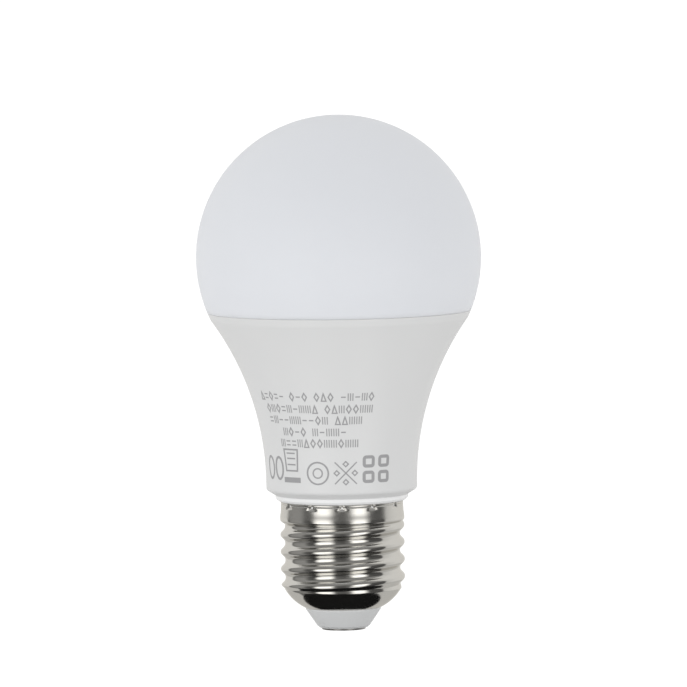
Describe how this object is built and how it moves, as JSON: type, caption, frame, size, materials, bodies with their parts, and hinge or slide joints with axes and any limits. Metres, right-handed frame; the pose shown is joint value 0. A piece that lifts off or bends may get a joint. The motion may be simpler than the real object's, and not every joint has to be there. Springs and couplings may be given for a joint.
{
  "type": "smart light bulb",
  "caption": "Opal half-globe bulb on a flared white housing with a screw cap; LED board, driver and wireless module inside.",
  "frame": {"origin": "middle of the centre contact's outer face, at the bulb's tip", "axes": "+Z along the bulb's axis from the contact to the top of the diffuser, -Y out of the printed side of the housing, +X to the right of that side"},
  "size_m": [0.06, 0.06, 0.1085],
  "materials": {
    "opal_diffuser": "satin",
    "sealant": "satin",
    "housing_plastic": "satin",
    "spun_aluminium": "brushed",
    "thermal_pad": "matte",
    "led_board": "satin",
    "cool_phosphor": "satin",
    "warm_phosphor": "satin",
    "led_package": "satin",
    "screw_steel": "bright",
    "connector_white": "matte",
    "black_moulding": "matte",
    "pin_gold": "bright",
    "circuit_board": "satin",
    "resistor_coat": "satin",
    "varistor_coat": "gloss",
    "film_box": "satin",
    "ferrite": "matte",
    "enamelled_copper": "bright",
    "bulk_sleeve": "gloss",
    "output_sleeve": "gloss",
    "bobbin_plastic": "matte",
    "winding_tape": "satin",
    "resistor_body": "satin",
    "ceramic_body": "satin",
    "module_board": "satin",
    "crystal_can": "bright",
    "antenna_copper": "bright",
    "nickel_shell": "mirror",
    "cap_plastic": "matte",
    "contact_metal": "bright",
    "live_insulation": "gloss",
    "tinned_wire": "bright"
  },
  "bodies": {
    "root": {"diffuser_dome": "opal_diffuser", "diffuser_seal": "sealant", "housing": "housing_plastic", "heat_sink_liner": "spun_aluminium", "thermal_pad": "thermal_pad", "led_board": "led_board", "cool_white_leds": "cool_phosphor", "warm_white_leds": "warm_phosphor", "colour_leds": "led_package", "led_board_screws": "screw_steel", "led_connector": "connector_white", "connector_strip": "black_moulding", "connector_pins": "pin_gold", "driver_board": "circuit_board", "fusible_resistor": "resistor_coat", "varistor": "varistor_coat", "film_capacitor": "film_box", "bridge_rectifier": "black_moulding", "line_choke_core": "ferrite", "line_choke_winding": "enamelled_copper", "bulk_capacitor": "bulk_sleeve", "driver_chip": "black_moulding", "flyback_diode": "black_moulding", "transformer_core": "ferrite", "transformer_bobbin": "bobbin_plastic", "transformer_winding": "winding_tape", "output_capacitor": "output_sleeve", "regulator_chip": "black_moulding", "channel_driver_chip": "black_moulding", "small_resistors": "resistor_body", "small_capacitors": "ceramic_body", "wireless_board": "module_board", "module_chip": "black_moulding", "module_crystal": "crystal_can", "antenna_trace": "antenna_copper", "screw_shell": "nickel_shell", "cap_insulator": "cap_plastic", "centre_contact": "contact_metal", "live_lead": "live_insulation", "neutral_lead": "tinned_wire"}
  },
  "joints": []
}
